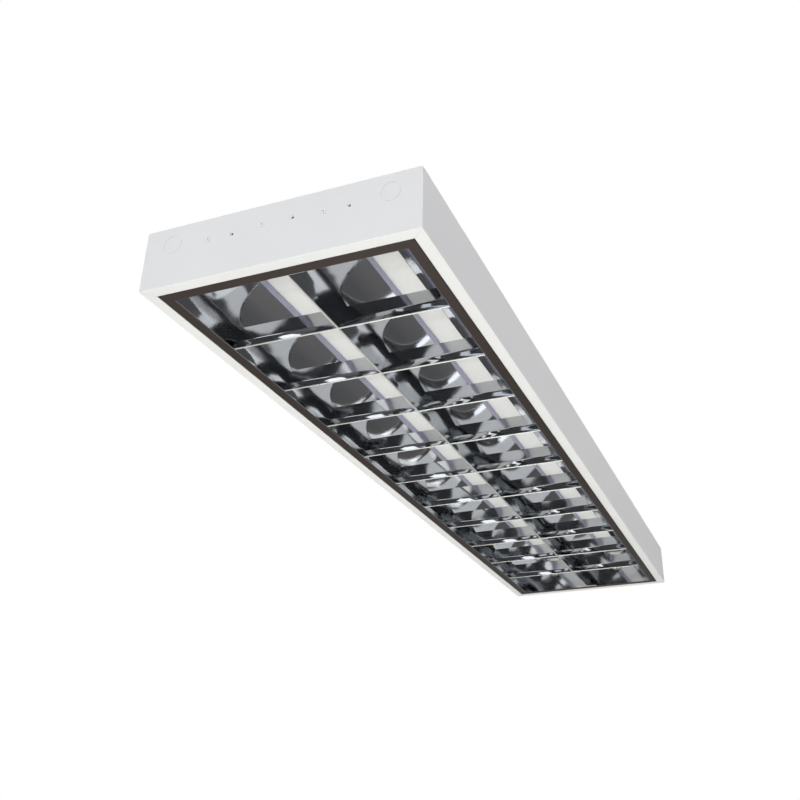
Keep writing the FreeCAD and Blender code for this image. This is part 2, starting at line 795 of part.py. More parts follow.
def lampholder_rotor(label, side, turned):
    """Quarter-turn rotor: a disc with a pin slot, and a hub in the holder's back."""
    body = new_body(label)
    x = channel_x * side
    disc = new_sketch(body, "XZ_Plane", holder_front_y)
    circle(disc, x, lamp_z, rotor_radius)
    pad(body, disc, rotor_depth, -1)
    hub = new_sketch(body, "XZ_Plane", holder_front_y - rotor_depth)
    circle(hub, x, lamp_z, hub_radius)
    pad(body, hub, hub_length, -1)
    slot = new_sketch(body, "XZ_Plane", holder_front_y)
    rectangle(slot, x - rotor_slot / 2, x + rotor_slot / 2, lamp_z - rotor_radius - 1,
              lamp_z + pin_slot_top)
    pocket(body, slot, pin_slot_depth, -1)
    if turned:
        body.Placement = Placement(Vector(), HALF_TURN)


def lampholder_contacts():
    """Two bronze contacts in each holder's chamber, hung from its roof."""
    pieces = []
    back = rotor_depth + rotor_back_gap + chamber_depth / 2
    middle = holder_front - back
    for side in (-1, 1):
        for end in (-1, 1):
            y = (half_length - middle) * end
            for hand in (-1, 1):
                x = channel_x * side + contact_offset * hand
                pieces.append(block(x - contact_sheet / 2, x + contact_sheet / 2,
                                    y - contact_width / 2, y + contact_width / 2,
                                    lamp_z - chamber_low + 1, lamp_z + chamber_top))
    group("lampholder_contacts", pieces)


# ---------------------------------------------------------------------------------------------
# Control gear, mains terminal and earth
# ---------------------------------------------------------------------------------------------

def ballast():
    """Case, lid, circuit board, end terminals and two screws."""
    body = new_body("ballast_base")
    wide = ballast_width / 2
    inner = wide - ballast_sheet
    low = ballast_low_z + ballast_sheet + lid_gap
    under = tray_face_z - ballast_sheet
    profile = new_sketch(body, "XZ_Plane")
    outline(profile, [(-wide, low), (-wide, tray_face_z), (wide, tray_face_z), (wide, low),
                      (inner, low), (inner, under), (-inner, under), (-inner, low)])
    pad(body, profile, ballast_length)
    tabs = new_sketch(body, "XY_Plane", tray_face_z)
    rectangle(tabs, -inner, inner, -(ballast_half + ballast_tab), ballast_half + ballast_tab)
    pad(body, tabs, ballast_sheet, -1)
    holes = new_sketch(body, "XY_Plane", tray_face_z)
    for x, y in ballast_screw_places():
        circle(holes, x, y, screw_radius + press_gap)
    pocket(body, holes, ballast_sheet * 2, -1)

    lid = new_body("ballast_lid")
    fold = inner - lid_gap
    lid_top = ballast_low_z + lid_overlap
    profile = new_sketch(lid, "XZ_Plane")
    face_top = ballast_low_z + ballast_sheet
    outline(profile, [(-wide, ballast_low_z), (wide, ballast_low_z), (wide, face_top),
                      (fold, face_top), (fold, lid_top), (fold - ballast_sheet, lid_top),
                      (fold - ballast_sheet, face_top), (ballast_sheet - fold, face_top),
                      (ballast_sheet - fold, lid_top), (-fold, lid_top), (-fold, face_top),
                      (-wide, face_top)])
    pad(lid, profile, ballast_length)

    reach = ballast_sheet + tray_rise - gear_screw_gap
    group("ballast_screws", [pan_screw(x, y, under, reach) for x, y in ballast_screw_places()])
    ends = []
    for end in (-1, 1):
        outer = ballast_half * end
        back = (ballast_half - gear_terminal_depth) * end
        y_low, y_high = (outer, back) if end < 0 else (back, outer)
        ends.append(block(-(inner - lid_gap), inner - lid_gap, y_low, y_high,
                          under - gear_terminal_height, under))
    group("ballast_terminals", ends)
    ballast_board(inner, under)


def ballast_board(inner, under):
    """Circuit board on four posts, with its large components."""
    top = under - board_drop
    low = top - board_sheet
    wide = inner - board_gap
    half = ballast_half - gear_terminal_depth - board_end_gap
    parts = [block(-wide, wide, -half, half, low, top)]
    post_x = wide - post_radius * 2
    post_y = half - post_radius * 4
    for side in (-1, 1):
        for end in (-1, 1):
            parts.append(rod(post_x * side, post_y * end, top - board_sheet / 2, post_radius,
                             board_drop + board_sheet / 2))
    floor = ballast_low_z + ballast_sheet + 1
    room = low - floor
    for step in (-1, 0, 1):
        y = half * step / 2
        parts.append(block(-wide / 2, wide / 2, y - room, y + room, low - room * 0.9,
                           low + board_sheet / 2))
    can = room * 0.4
    for step in (-1, 1):
        y = half * step / 4
        parts.append(rod(0, y - can, low - can * 0.9, can, can * 2, "y"))
    keep(fuse(parts), "ballast_board")


def mains_terminal():
    """Three-pole screw terminal under the tray, before the gear."""
    wide = terminal_width / 2
    deep = terminal_depth / 2
    low = tray_face_z - terminal_height
    body = block(-wide, wide, terminal_y - deep, terminal_y + deep, low, tray_face_z)
    bores = []
    inserts = []
    screws = []
    for step in (-1, 0, 1):
        x = pole_pitch * step
        bores.append(rod(x, terminal_y - deep - 1, lead_z, insert_radius + press_gap,
                         terminal_depth + 2, "y"))
        tube = rod(x, terminal_y - insert_length / 2, lead_z, insert_radius, insert_length, "y")
        hole = rod(x, terminal_y - insert_length / 2 - 1, lead_z, insert_bore,
                   insert_length + 2, "y")
        inserts.append(cut(tube, hole))
        for hand in (-1, 1):
            y = terminal_y + clamp_screw_offset * hand
            bores.append(rod(x, y, low - 1, clamp_screw_radius + press_gap,
                             lead_z - low - insert_radius + 2))
            height = lead_z - insert_radius - low
            shank = rod(x, y, low, clamp_screw_radius, height)
            slot = block(x - clamp_screw_radius - 1, x + clamp_screw_radius + 1,
                         y - screw_slot / 4, y + screw_slot / 4, low - 1, low + 1)
            screws.append(cut(shank, slot))
    keep(cut(body, fuse(bores)), "terminal_block")
    group("terminal_inserts", inserts)
    group("terminal_screws", screws)


def hexagon(x, y, z, across_flats, height):
    """A nut's outside, with its axis upright."""
    item = doc.addObject("Part::Prism", "Hexagon")
    item.Polygon = 6
    bind(item, "Circumradius", across_flats / root(as_size(3)))
    bind(item, "Height", height)
    return place(item, x, y, z)


def earth_point():
    """Stud under the tray with two nuts, and a short lead with a lug between them."""
    keep(rod(earth_x, earth_y, tray_face_z - stud_length, stud_radius, stud_length),
         "earth_stud")
    lug_low_z = lug_top_z - lug_sheet
    nuts = []
    for z in (tray_face_z - nut_height, lug_low_z - nut_height):
        hole = rod(earth_x, earth_y, z - 1, stud_radius + press_gap, nut_height + 2)
        nuts.append(cut(hexagon(earth_x, earth_y, z, nut_size, nut_height), hole))
    group("earth_nuts", nuts)
    ring = rod(earth_x, earth_y, lug_low_z, lug_radius, lug_sheet)
    start = earth_y + lug_radius * 0.9
    lead = rod(earth_x, start, lug_low_z + lug_sheet / 2, wire_radius,
               terminal_y - terminal_depth / 2 - start, "y")
    eye = rod(earth_x, earth_y, lug_low_z - 2, stud_radius + press_gap, lug_sheet + 4)
    keep(cut(fuse([ring, lead]), eye), "earth_lead")


# ---------------------------------------------------------------------------------------------
# Internal leads, held by clips along their whole way
# ---------------------------------------------------------------------------------------------

def rounded_path(points, radius):
    """A wire of straight runs joined by tangent arcs of one radius."""
    edges = []
    at = points[0]
    for before, corner, after in zip(points, points[1:], points[2:]):
        came = (corner - before).normalize()
        goes = (after - corner).normalize()
        turn = math.acos(max(-1.0, min(1.0, came.dot(goes))))
        back = radius * math.tan(turn / 2)
        enter = corner - came * back
        leave = corner + goes * back
        inward = (goes - came).normalize()
        middle = corner + inward * (radius / math.cos(turn / 2) - radius)
        edges.append(Part.LineSegment(at, enter).toShape())
        edges.append(Part.Arc(enter, middle, leave).toShape())
        at = leave
    edges.append(Part.LineSegment(at, points[-1]).toShape())
    return Part.Wire(edges)


def tube_along(label, points, radius, bend_radius):
    """A round lead along a rounded path."""
    path = rounded_path(points, bend_radius)
    way = (points[1] - points[0]).normalize()
    section = Part.Wire([Part.Circle(points[0], way, radius).toShape()])
    item = doc.addObject("Part::Feature", "Lead")
    item.Shape = path.makePipeShell([section], True, False)
    return keep(item, label)


def lamp_lead(label, side, end):
    """Lead from the gear to a lampholder: out of the terminal, along the tray, and across."""
    start_y = ballast_half.value
    shift_y = start_y + lead_straight.value
    run_y = shift_y + lead_shift.value
    end_y = half_length.value - lead_end_inset.value
    holder_x = channel_x.value - holder_width.value / 2
    route = [(lead_exit_x.value, start_y), (lead_exit_x.value, shift_y),
             (lead_run_x.value, run_y), (lead_run_x.value, end_y), (holder_x, end_y)]
    points = [Vector(x * side, y * end, lead_z.value) for x, y in route]
    tube_along(label, points, lead_radius.value, lead_bend.value)


def mains_leads():
    """Three short leads from the mains terminal to the gear."""
    start = terminal_y + terminal_depth / 2
    length = -ballast_half - start
    group("mains_leads", [rod(pole_pitch * step, start, lead_z, wire_radius, length, "y")
                          for step in (-1, 0, 1)])


def wire_clips():
    """Saddles that hold the lamp leads against the tray."""
    clips = []
    low = lead_z - lead_radius - clip_wall
    for side in (-1, 1):
        x = lead_run_x * side
        for end in (-1, 1):
            for step in range(3):
                y = (ballast_half + clip_run + clip_pitch * step) * end
                saddle = block(x - clip_width / 2, x + clip_width / 2, y - clip_depth / 2,
                               y + clip_depth / 2, low, tray_face_z)
                passage = rod(x, y - clip_depth, lead_z, lead_radius + press_gap,
                              clip_depth * 2, "y")
                clips.append(cut(saddle, passage))
    group("wire_clips", clips)


# ---------------------------------------------------------------------------------------------
# Hinge and catches
# ---------------------------------------------------------------------------------------------

def hinge_bracket(station):
    """Bracket on the left long side: a plate, a shelf and two ears for the pin."""
    wall_x = steel - half_width
    ear_low = knuckle_width / 2 + side_gap
    ear_high = ear_low + ear_sheet
    plate = block(wall_x, wall_x + ear_sheet, station - ear_high, station + ear_high,
                  shelf_z - bracket_plate / 2, shelf_z + bracket_plate / 2)
    shelf = block(wall_x, hinge_x + knuckle_radius, station - ear_high, station + ear_high,
                  shelf_z, shelf_z + ear_sheet)
    ears = []
    for hand in (-1, 1):
        near = ear_low * hand
        far = ear_high * hand
        y_low, y_high = (far, near) if hand < 0 else (near, far)
        ears.append(block(hinge_x - knuckle_radius, hinge_x + knuckle_radius, station + y_low,
                          station + y_high, hinge_z, shelf_z + ear_sheet))
        ears.append(rod(hinge_x, station + y_low, hinge_z, knuckle_radius, ear_sheet, "y"))
    hole = rod(hinge_x, station - ear_high - 1, hinge_z, pin_radius + running_gap / 5,
               ear_high * 2 + 2, "y")
    return cut(fuse([plate, shelf] + ears), hole)


def hinge_pin(station):
    reach = knuckle_width / 2 + side_gap + ear_sheet
    return rod(hinge_x, station - reach, hinge_z, pin_radius, reach * 2, "y")


def hinge_lug(station):
    """Knuckle on a foot that is fixed to the louvre's flange."""
    low = station - knuckle_width / 2
    knuckle = rod(hinge_x, low, hinge_z, knuckle_radius, knuckle_width, "y")
    foot = block(hinge_x, hinge_x + foot_length, low, low + knuckle_width, flange_top_z,
                 flange_top_z + ear_sheet)
    hole = rod(hinge_x, low - 1, hinge_z, pin_radius + running_gap, knuckle_width + 2, "y")
    return cut(fuse([knuckle, foot]), hole)


def striker(station):
    """Upstand on the louvre's right flange that the catch grips."""
    face = louvre_half - striker_inset
    low = station - catch_width / 2
    upstand = block(face - striker_sheet, face, low, low + catch_width, flange_top_z,
                    flange_top_z + striker_height)
    foot = block(face - foot_length, face, low, low + catch_width, flange_top_z,
                 flange_top_z + striker_sheet)
    return fuse([upstand, foot])


def catch_bracket(station):
    """Bracket on the right long side, with the fixed jaw of the catch."""
    wall_x = half_width - steel
    low = station - catch_width / 2
    high = low + catch_width
    jaw_right = louvre_half - striker_inset - striker_sheet - jaw_gap
    jaw_left = jaw_right - striker_sheet
    plate = block(wall_x - ear_sheet, wall_x, low, high, shelf_z - bracket_plate / 2,
                  shelf_z + bracket_plate / 2)
    shelf = block(jaw_left, wall_x, low, high, shelf_z, shelf_z + ear_sheet)
    jaw = block(jaw_left, jaw_right, low, high, shelf_z - jaw_length, shelf_z + ear_sheet)
    return fuse([plate, shelf, jaw])


def catch_leaf(label, station):
    """Sprung leaf of a catch, with its lower end turned out to guide the striker in."""
    body = new_body(label)
    left = louvre_half - striker_inset + leaf_gap
    right = left + leaf_sheet
    top = shelf_z - leaf_seat_gap
    low = top - leaf_length
    profile = new_sketch(body, "XZ_Plane", station)
    outline(profile, [(left, top), (left, low), (left + leaf_foot, low - leaf_foot),
                      (right + leaf_foot, low - leaf_foot), (right, low), (right, top)])
    pad(body, profile, catch_width)


def hinge_and_catches():
    places = [-station_y, station_y]
    group("hinge_brackets", [hinge_bracket(place_y) for place_y in places])
    group("hinge_pins", [hinge_pin(place_y) for place_y in places])
    group("hinge_lugs", [hinge_lug(place_y) for place_y in places])
    group("louvre_strikers", [striker(place_y) for place_y in places])
    group("catch_brackets", [catch_bracket(place_y) for place_y in places])
    catch_leaf("catch_leaf_near", -station_y)
    catch_leaf("catch_leaf_far", station_y)


# ---------------------------------------------------------------------------------------------
# The louvre
# ---------------------------------------------------------------------------------------------

def side_reflector(label, side):
    """Curved outer mirror with its lip and its mitred flange."""
    body = new_body(label)
    outer_radius = mirror_radius + foil
    top_x = channel_x + slot_half
    seam_z = arc_top_z + foil / 2
    profile = new_sketch(body, "XZ_Plane")
    corners = [(louvre_half, louvre_z), (cells_half + mouth_fold, louvre_z),
               (cells_half, louvre_z + mouth_fold), (top_x, arc_top_z), (top_x, lip_top_z),
               (top_x + foil, lip_top_z), (top_x + foil, seam_z),
               (cells_half + foil, flange_top_z), (louvre_half, flange_top_z)]
    outline(profile, [(x * side, z) for x, z in corners],
            {1: (mouth_fold, side), 2: (mirror_radius, -side), 6: (outer_radius, side)})
    pad(body, profile, mirror_half_length * 2)

    flange = new_sketch(body, "XY_Plane", louvre_z)
    gap = mitre_gap / 2
    inner = cells_half + mouth_fold
    inner_y = cells_half_length + mouth_fold - gap
    outline(flange, [(louvre_half * side, gap - louvre_half_length), (inner * side, -inner_y),
                     (inner * side, inner_y), (louvre_half * side, louvre_half_length - gap)])
    pad(body, flange, foil, 1)

    slot = new_sketch(body, "YZ_Plane", (cells_half - tab_reach) * side)
    first = cell_pitch - mirror_half_length
    half_slot = tab_thickness / 2 + tab_gap
    rectangle(slot, first - half_slot, first + half_slot,
              blade_low_z + tab_low - tab_gap, blade_low_z + tab_low + tab_height + tab_gap)
    opening = pocket(body, slot, tab_reach * 3, side)
    repeat(body, opening, cell_pitch, cell_count - 1)


def nose_radius(edge):
    """Radius of a sheet folded back on itself, where the fold is as wide as edge."""
    return edge * 0.55


def nose_rise(edge):
    """Height of that round fold."""
    radius = nose_radius(edge)
    return radius - root(radius * radius - edge * edge / 4)


def spine_arc_x(height_z):
    """Half the spine's width at a height, from its mirror's circle."""
    low_x = spine_edge / 2
    top_x = channel_x - slot_half
    run = top_x - low_x
    rise = arc_top_z - louvre_z
    chord = root(run * run + rise * rise)
    lift = root(mirror_radius * mirror_radius - chord * chord / 4)
    centre_x = (low_x + top_x) / 2 + rise / chord * lift
    centre_z = (louvre_z + arc_top_z) / 2 - run / chord * lift
    above = height_z - centre_z
    return centre_x - root(mirror_radius * mirror_radius - above * above)


def spine_reflector():
    """Centre mirror, folded to a V, with a slot where each blade passes."""
    body = new_body("reflector_spine")
    outer_radius = mirror_radius + foil
    low_x = spine_edge / 2
    inner_x = spine_edge / 2 - foil
    inner_z = louvre_z + foil * 1.5
    top_x = channel_x - slot_half
    seam_z = arc_top_z + foil / 2
    right = [(low_x, louvre_z + nose_rise(spine_edge)), (top_x, arc_top_z), (top_x, lip_top_z),
             (top_x - foil, lip_top_z), (top_x - foil, seam_z), (inner_x, inner_z)]
    left = [(-x, z) for x, z in reversed(right)]
    profile = new_sketch(body, "XZ_Plane")
    outline(profile, right + left, {0: (mirror_radius, 1), 4: (outer_radius, -1),
                                    6: (outer_radius, -1), 10: (mirror_radius, 1),
                                    11: (nose_radius(spine_edge), -1)})
    pad(body, profile, mirror_half_length * 2)

    slot = new_sketch(body, "YZ_Plane")
    first = cell_pitch - mirror_half_length
    half_slot = spine_slot_width / 2
    rectangle(slot, first - half_slot, first + half_slot, louvre_z - 1, web_top_z + tab_gap)
    opening = pocket(body, slot, channel_x)
    repeat(body, opening, cell_pitch, cell_count - 1)


def cross_blade(label, station):
    """Blade folded to a closed V with hollow faces, cut to the channels, with a web through the
    spine."""
    body = new_body(label)
    low = blade_edge / 2
    top = blade_top / 2
    nose_z = blade_low_z + nose_rise(blade_edge)
    inner = top - blade_sheet * 1.5
    inner_z = blade_top_z - blade_sheet
    heart_z = blade_low_z + blade_sheet * 3
    profile = new_sketch(body, "YZ_Plane")
    outline(profile, [(station + low, nose_z), (station + top, blade_top_z),
                      (station - top, blade_top_z), (station - low, nose_z)],
            {0: (blade_radius, 1), 2: (blade_radius, 1), 3: (nose_radius(blade_edge), -1)})
    outline(profile, [(station, heart_z), (station + inner, inner_z), (station - inner, inner_z)],
            {0: (blade_radius, 1), 2: (blade_radius, 1)})
    pad(body, profile, cells_half * 2)

    trim = new_sketch(body, "XZ_Plane", station)
    slot_top_x = channel_x + slot_half - blade_gap
    mouth_x = cells_half - blade_gap
    beyond = cells_half + tab_reach
    for side in (-1, 1):
        outline(trim, [(mouth_x * side, louvre_z - 1), (beyond * side, louvre_z - 1),
                       (beyond * side, arc_top_z), (slot_top_x * side, arc_top_z),
                       (mouth_x * side, louvre_z)], {3: (mirror_radius, side)})
    web_x = spine_arc_x(web_top_z) + blade_gap
    spine_top_x = channel_x - slot_half + blade_gap
    outline(trim, [(-web_x, web_top_z), (web_x, web_top_z), (spine_top_x, arc_top_z),
                   (-spine_top_x, arc_top_z)], {1: (mirror_radius, 1), 3: (mirror_radius, 1)})
    pocket(body, trim, blade_top * 2)

    tabs = new_sketch(body, "XZ_Plane", station)
    reach = cells_half + tab_reach
    tab_z = blade_low_z + tab_low
    rectangle(tabs, -reach, reach, tab_z, tab_z + tab_height)
    pad(body, tabs, tab_thickness)


def louvre_end(label, turned):
    """End sheet of the louvre, with two lamp notches and a mitred flange."""
    body = new_body(label)
    wide = cells_half + end_margin
    face = new_sketch(body, "XZ_Plane", -cells_half_length)
    outline(face, [(-cells_half, louvre_z), (cells_half, louvre_z), (cells_half, flange_top_z),
                   (wide, flange_top_z), (wide, arc_top_z), (-wide, arc_top_z),
                   (-wide, flange_top_z), (-cells_half, flange_top_z)])
    pad(body, face, foil, 1)
    flange = new_sketch(body, "XY_Plane", louvre_z)
    outline(flange, [(-louvre_half, -louvre_half_length), (louvre_half, -louvre_half_length),
                     (cells_half, -cells_half_length), (-cells_half, -cells_half_length)])
    pad(body, flange, foil, 1)
    rounds = new_sketch(body, "XZ_Plane", -cells_half_length)
    for side in (-1, 1):
        circle(rounds, channel_x * side, lamp_z, lamp_notch_radius)
    pocket(body, rounds, foil * 2, 1)
    mouths = new_sketch(body, "XZ_Plane", -cells_half_length)
    for side in (-1, 1):
        rectangle(mouths, channel_x * side - lamp_notch_radius,
                  channel_x * side + lamp_notch_radius, lamp_z, arc_top_z + 1)
    pocket(body, mouths, foil * 2, 1)
    if turned:
        body.Placement = Placement(Vector(), HALF_TURN)


def louvre():
    side_reflector("reflector_left", -1)
    side_reflector("reflector_right", 1)
    spine_reflector()
    louvre_end("louvre_end_near", False)
    louvre_end("louvre_end_far", True)
    for number in range(1, round(cell_count.value)):
        station = cell_pitch * number - mirror_half_length
        cross_blade(f"cross_blade_{number:02d}", station)


# ---------------------------------------------------------------------------------------------
# The whole luminaire
# ---------------------------------------------------------------------------------------------

HOLDERS = [("near_left", -1, False), ("near_right", 1, False),
           ("far_left", 1, True), ("far_right", -1, True)]

housing_channel()
end_plate("end_plate_near", False)
end_plate("end_plate_far", True)
gear_tray()
housing_screws()
cable_grommet()
lampholder_bar("lampholder_bar_near", False)
lampholder_bar("lampholder_bar_far", True)
bar_rivets()
for where, hand_x, is_turned in HOLDERS:
    lampholder_body("lampholder_body_" + where, hand_x, is_turned)
    lampholder_rotor("lampholder_rotor_" + where, hand_x, is_turned)
lampholder_contacts()
ballast()
mains_terminal()
earth_point()
for where, hand_x, is_turned in HOLDERS:
    lamp_lead("lamp_lead_" + where, -hand_x if is_turned else hand_x, 1 if is_turned else -1)
mains_leads()
wire_clips()
hinge_and_catches()
louvre()
doc.recompute()

# ---------------------------------------------------------------------------------------------
# Check every object, then write each node
# ---------------------------------------------------------------------------------------------

for item in doc.Objects:
    if "Invalid" in item.State or "Error" in item.State:
        raise RuntimeError(f"{item.Name} ({item.Label}) is {item.State}")

for node in nodes:
    if node.Shape.isNull() or not node.Shape.isValid():
        raise RuntimeError(f"{node.Label} has no valid shape")
    node.Shape.exportStep(f"parts/{node.Label}.step")
    print(f"{node.Label}: {len(node.Shape.Solids)} solids, {node.Shape.Volume / 1000:.2f} cm3")
print(len(nodes), "nodes")
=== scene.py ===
# %% [markdown]
# # A slim mirror-louvre luminaire, seen from below
#
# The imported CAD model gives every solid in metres, with the back of the luminaire at z = 0 and
# the louvre facing down. This lesson dresses that model: finishes for sheet steel, bright
# aluminium, plastics and wires, smooth cross blades in place of the faceted ones, and a camera
# and lamps that repeat the view from under the near end.

import json
import math

import bmesh
import bpy
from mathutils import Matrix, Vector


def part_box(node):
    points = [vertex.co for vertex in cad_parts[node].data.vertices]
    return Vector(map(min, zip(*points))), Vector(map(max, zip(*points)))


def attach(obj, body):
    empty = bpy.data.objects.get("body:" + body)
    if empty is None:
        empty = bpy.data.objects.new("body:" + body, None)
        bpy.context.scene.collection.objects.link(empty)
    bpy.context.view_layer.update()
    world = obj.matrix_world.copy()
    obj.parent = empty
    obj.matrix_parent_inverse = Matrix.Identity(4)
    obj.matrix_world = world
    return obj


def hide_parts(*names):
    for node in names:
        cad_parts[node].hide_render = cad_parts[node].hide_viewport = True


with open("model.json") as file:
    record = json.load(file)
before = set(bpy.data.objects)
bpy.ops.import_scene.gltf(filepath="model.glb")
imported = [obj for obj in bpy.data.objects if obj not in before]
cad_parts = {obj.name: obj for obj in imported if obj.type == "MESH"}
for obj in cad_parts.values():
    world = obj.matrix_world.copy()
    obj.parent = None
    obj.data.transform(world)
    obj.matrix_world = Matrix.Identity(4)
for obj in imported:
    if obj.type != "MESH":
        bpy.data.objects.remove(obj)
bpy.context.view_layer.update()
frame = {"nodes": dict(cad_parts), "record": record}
nodes = frame["nodes"]

# %% [markdown]
# ## Camera
#
# A camera can be placed by eye, or worked out from the edges of the box in the picture. Here
# the three directions of the box's edges gave the place, the turn and the lens. The picture
# was cut from a larger one, so its middle isn't the lens's middle: the small shift says so.

# %% Camera
CAMERA_PLACE = (0.4174, -1.2603, -0.5722)
CAMERA_TURN_DEG = (117.764, 0.056, 20.813)
LENS_MM = 43.14
SHIFT = (-0.063, -0.0401)

camera_data = bpy.data.cameras.new("camera")
camera_data.lens = LENS_MM
camera_data.shift_x, camera_data.shift_y = SHIFT
camera = bpy.data.objects.new("camera", camera_data)
camera.location = CAMERA_PLACE
camera.rotation_euler = [math.radians(angle) for angle in CAMERA_TURN_DEG]
bpy.context.scene.collection.objects.link(camera)
bpy.context.scene.camera = camera
bpy.context.scene.view_settings.view_transform = "Standard"
print("camera", CAMERA_PLACE, "lens", LENS_MM)

# %% [markdown]
# ## Floor
#
# Bright metal has no colour of its own: it shows the room. The floor lies 2.4 m below the
# ceiling, as it would in an office. It could be left out, since the camera looks up and never
# sees it, but the mirrors do: its mid grey is their quiet tone between the bright streaks.

# %% Floor
FLOOR_DEPTH = 2.4
FLOOR_HALF = 16.0
FLOOR_COLOUR = (0.52, 0.51, 0.50, 1)
FLOOR_ROUGHNESS = 0.9
FLOOR_TURNS = [(-1, -1), (1, -1), (1, 1), (-1, 1)]

floor_mesh = bpy.data.meshes.new("floor")
floor_mesh.from_pydata([(x * FLOOR_HALF, y * FLOOR_HALF, -FLOOR_DEPTH) for x, y in FLOOR_TURNS],
                       [], [(0, 1, 2, 3)])
floor = bpy.data.objects.new("floor", floor_mesh)
bpy.context.scene.collection.objects.link(floor)
floor_paint = bpy.data.materials.new("floor_pale")
floor_paint.use_nodes = True
floor_shader = floor_paint.node_tree.nodes["Principled BSDF"]
floor_shader.inputs["Base Color"].default_value = FLOOR_COLOUR
floor_shader.inputs["Roughness"].default_value = FLOOR_ROUGHNESS
floor_mesh.materials.append(floor_paint)
print("floor at", -FLOOR_DEPTH, "colour", FLOOR_COLOUR)

# %% [markdown]
# ## World
#
# The paper-white background could be a wall, but a wall would also light the object. The world
# does it with no light: it is white where the camera or a reflection looks at it, and gives
# only a soft fill otherwise, so the box keeps its shading.

# %% A helper for sums in a net of nodes


def math_node(net, operation, *values):
    """A Math node with sockets or numbers as its inputs."""
    step = net.nodes.new("ShaderNodeMath")
    step.operation = operation
    for place, value in enumerate(values):
        if hasattr(value, "links"):
            net.links.new(value, step.inputs[place])
        else:
            step.inputs[place].default_value = value
    return step.outputs[0]


# %% World
FILL_COLOUR = (0.97, 0.98, 1, 1)
FILL_STRENGTH = 0.18
WHITE = (1, 1, 1, 1)

world = bpy.data.worlds.new("studio")
bpy.context.scene.world = world
world.use_nodes = True
sky = world.node_tree
sky.nodes.clear()
rays = sky.nodes.new("ShaderNodeLightPath").outputs
looked_at = math_node(sky, "MAXIMUM", rays["Is Camera Ray"], rays["Is Glossy Ray"])
looked_at = math_node(sky, "MAXIMUM", looked_at, rays["Is Transmission Ray"])
blend = sky.nodes.new("ShaderNodeMixShader")
sky.links.new(looked_at, blend.inputs[0])
for place, colour, strength in ((1, FILL_COLOUR, FILL_STRENGTH), (2, WHITE, 1)):
    glow = sky.nodes.new("ShaderNodeBackground")
    glow.inputs["Color"].default_value = colour
    glow.inputs["Strength"].default_value = strength
    sky.links.new(glow.outputs[0], blend.inputs[place])
world_out = sky.nodes.new("ShaderNodeOutputWorld")
sky.links.new(blend.outputs[0], world_out.inputs["Surface"])
print("fill", FILL_STRENGTH)

# %% [markdown]
# ## Lamps
#
# A mirror louvre shows the windows and lamps of its room as long bright streaks. Lamps can be
# placed by eye and turned up until it looks right. Here each was first tried alone, and their
# strengths were then chosen together, because every lamp also lights the white paint. The
# window, the panels and the lamp below show in the mirrors. The high lamps light the paint of
# each side, and the last one lights the back. All are hidden from the camera, which would meet
# some of them in other views, but not from the mirrors.

# %% Lamps
# name, place, the point it looks at, width, height, radiance, colour
LAMPS = [
    ("window", (2.12, -1.52, -1.37), (0, -0.25, -0.05), 0.9, 1.4, 3.6, (0.97, 0.98, 1)),
    ("panel_right", (1.25, -2.94, -1.25), (0, -0.25, -0.05), 1.6, 1.8, 1.4, (1, 1, 0.97)),
    ("panel_left", (-0.52, -3.17, -1.25), (0, -0.25, -0.05), 1.8, 1.8, 2.1, (0.98, 1, 0.94)),
    ("panel_low", (-1.14, -2.58, -1.93), (0, -0.25, -0.05), 0.9, 1.0, 1.8, (1, 0.95, 0.9)),
    ("below", (0, 0, -2.3), (0, 0, -0.07), 1.0, 2.0, 5.4, (1, 1, 0.93)),
    ("near_high", (-0.6, -3.0, 0.6), (0, -0.6, -0.03), 1.2, 1.2, 4.0, (0.9, 0.91, 1)),
    ("right_high", (2.6, -0.6, 0.7), (0.15, -0.2, -0.03), 1.2, 1.2, 2.7, (1, 0.95, 1)),
    ("left_high", (-2.6, 0.4, 0.7), (-0.15, 0.1, -0.03), 1.2, 1.2, 3.0, (1, 1, 1)),
    ("far_high", (-0.7, 3.2, 0.7), (0, 0.6, -0.03), 1.0, 1.0, 3.6, (1, 1, 1)),
    ("above", (0, 0, 1.1), (0, 0, 0), 0.6, 1.6, 3.2, (1, 1, 1)),
]


def point_at(thing, target):
    """Turn an object's -Z axis to a point."""
    way = [end - start for start, end in zip(thing.location, target)]
    level = math.hypot(way[0], way[1])
    thing.rotation_euler = (math.atan2(level, -way[2]), 0, math.atan2(-way[0], way[1]))


for name, place, target, wide, high, radiance, colour in LAMPS:
    lamp_data = bpy.data.lights.new(name, "AREA")
    lamp_data.shape = "RECTANGLE"
    lamp_data.size, lamp_data.size_y = wide, high
    lamp_data.energy = radiance * math.pi * wide * high
    lamp_data.color = colour
    lamp = bpy.data.objects.new(name, lamp_data)
    lamp.location = place
    point_at(lamp, target)
    lamp.visible_camera = False
    bpy.context.scene.collection.objects.link(lamp)
print(len(LAMPS), "lamps")

# %% [markdown]
# ## Finishes
#
# A finish could be one flat colour, but real paint, plate and plastic vary a little from place
# to place. A small net of nodes does that: one noise tints the colour and changes the
# roughness, and a finer one gives a bump. All patterns read Object coordinates, so they stay
# on the piece when the louvre swings.

# %% Helpers for patterns


def noise(net, vector, scale, detail):
    """A noise texture's grey value."""
    texture = net.nodes.new("ShaderNodeTexNoise")
    texture.inputs["Scale"].default_value = scale
    texture.inputs["Detail"].default_value = detail
    net.links.new(vector, texture.inputs["Vector"])
    return texture.outputs["Fac"]


def stretched(net, stretch):
    """Object coordinates, scaled along each axis."""
    place = net.nodes.new("ShaderNodeTexCoord")
    mapping = net.nodes.new("ShaderNodeMapping")
    mapping.inputs["Scale"].default_value = stretch
    net.links.new(place.outputs["Object"], mapping.inputs["Vector"])
    return mapping.outputs["Vector"]


